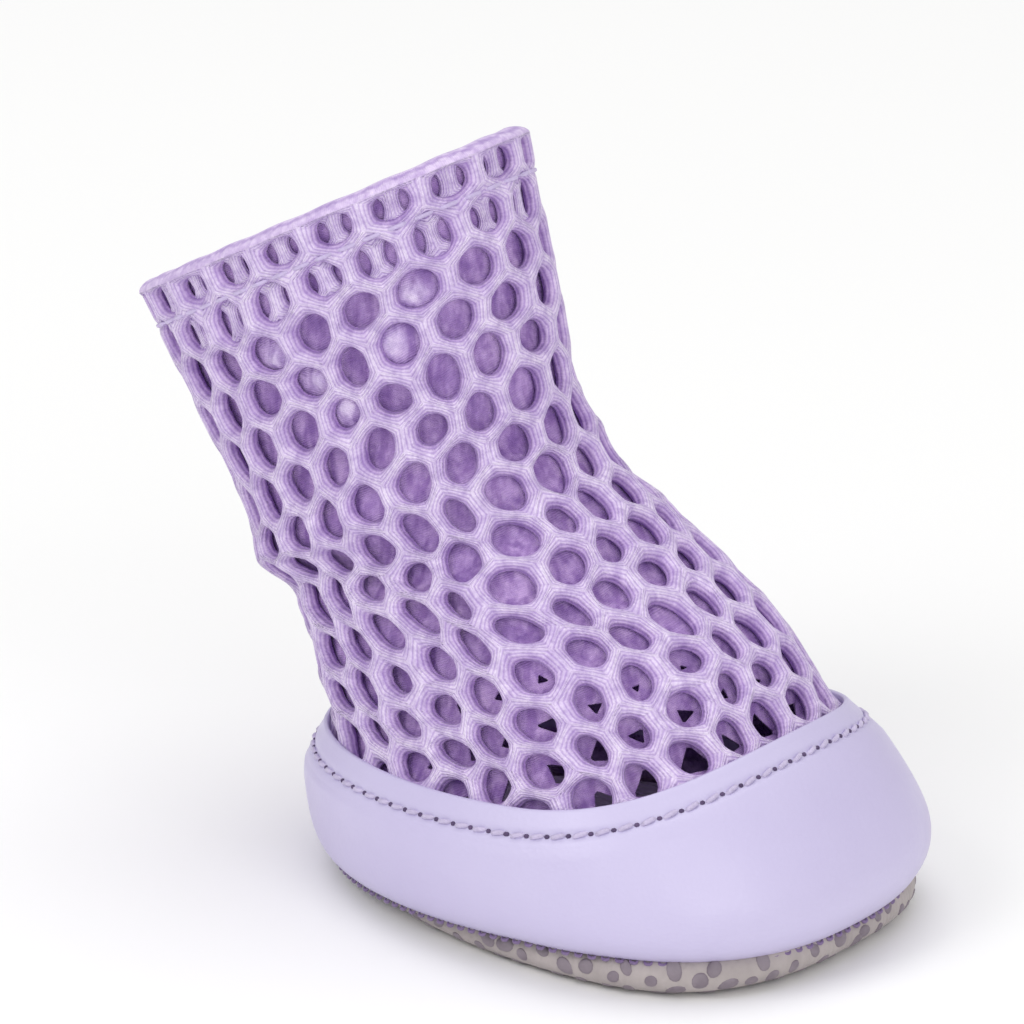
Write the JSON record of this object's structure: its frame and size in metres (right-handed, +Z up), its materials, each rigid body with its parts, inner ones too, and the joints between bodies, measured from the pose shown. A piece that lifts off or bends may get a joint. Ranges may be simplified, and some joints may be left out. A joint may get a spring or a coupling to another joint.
{
  "type": "dog boot",
  "caption": "Slip-on mesh dog boot: a hemmed open shaft leans back over the heel, with a smooth leather rand round the foot and a soft grip sole.",
  "frame": {"origin": "on the floor, under the middle of the sole, on the boot's centre line", "axes": "+X to the toe, +Y to the boot's left side, +Z up"},
  "size_m": [0.0923, 0.0528, 0.0796],
  "materials": {
    "mesh": "matte open spacer mesh",
    "rand_leather": "smooth satin",
    "sole_grip": "matte, dotted",
    "insole_cloth": "matte knit"
  },
  "bodies": {
    "root": {"mesh_upper": "mesh", "leather_rand": "rand_leather", "outsole": "sole_grip", "insole": "insole_cloth"}
  },
  "joints": []
}
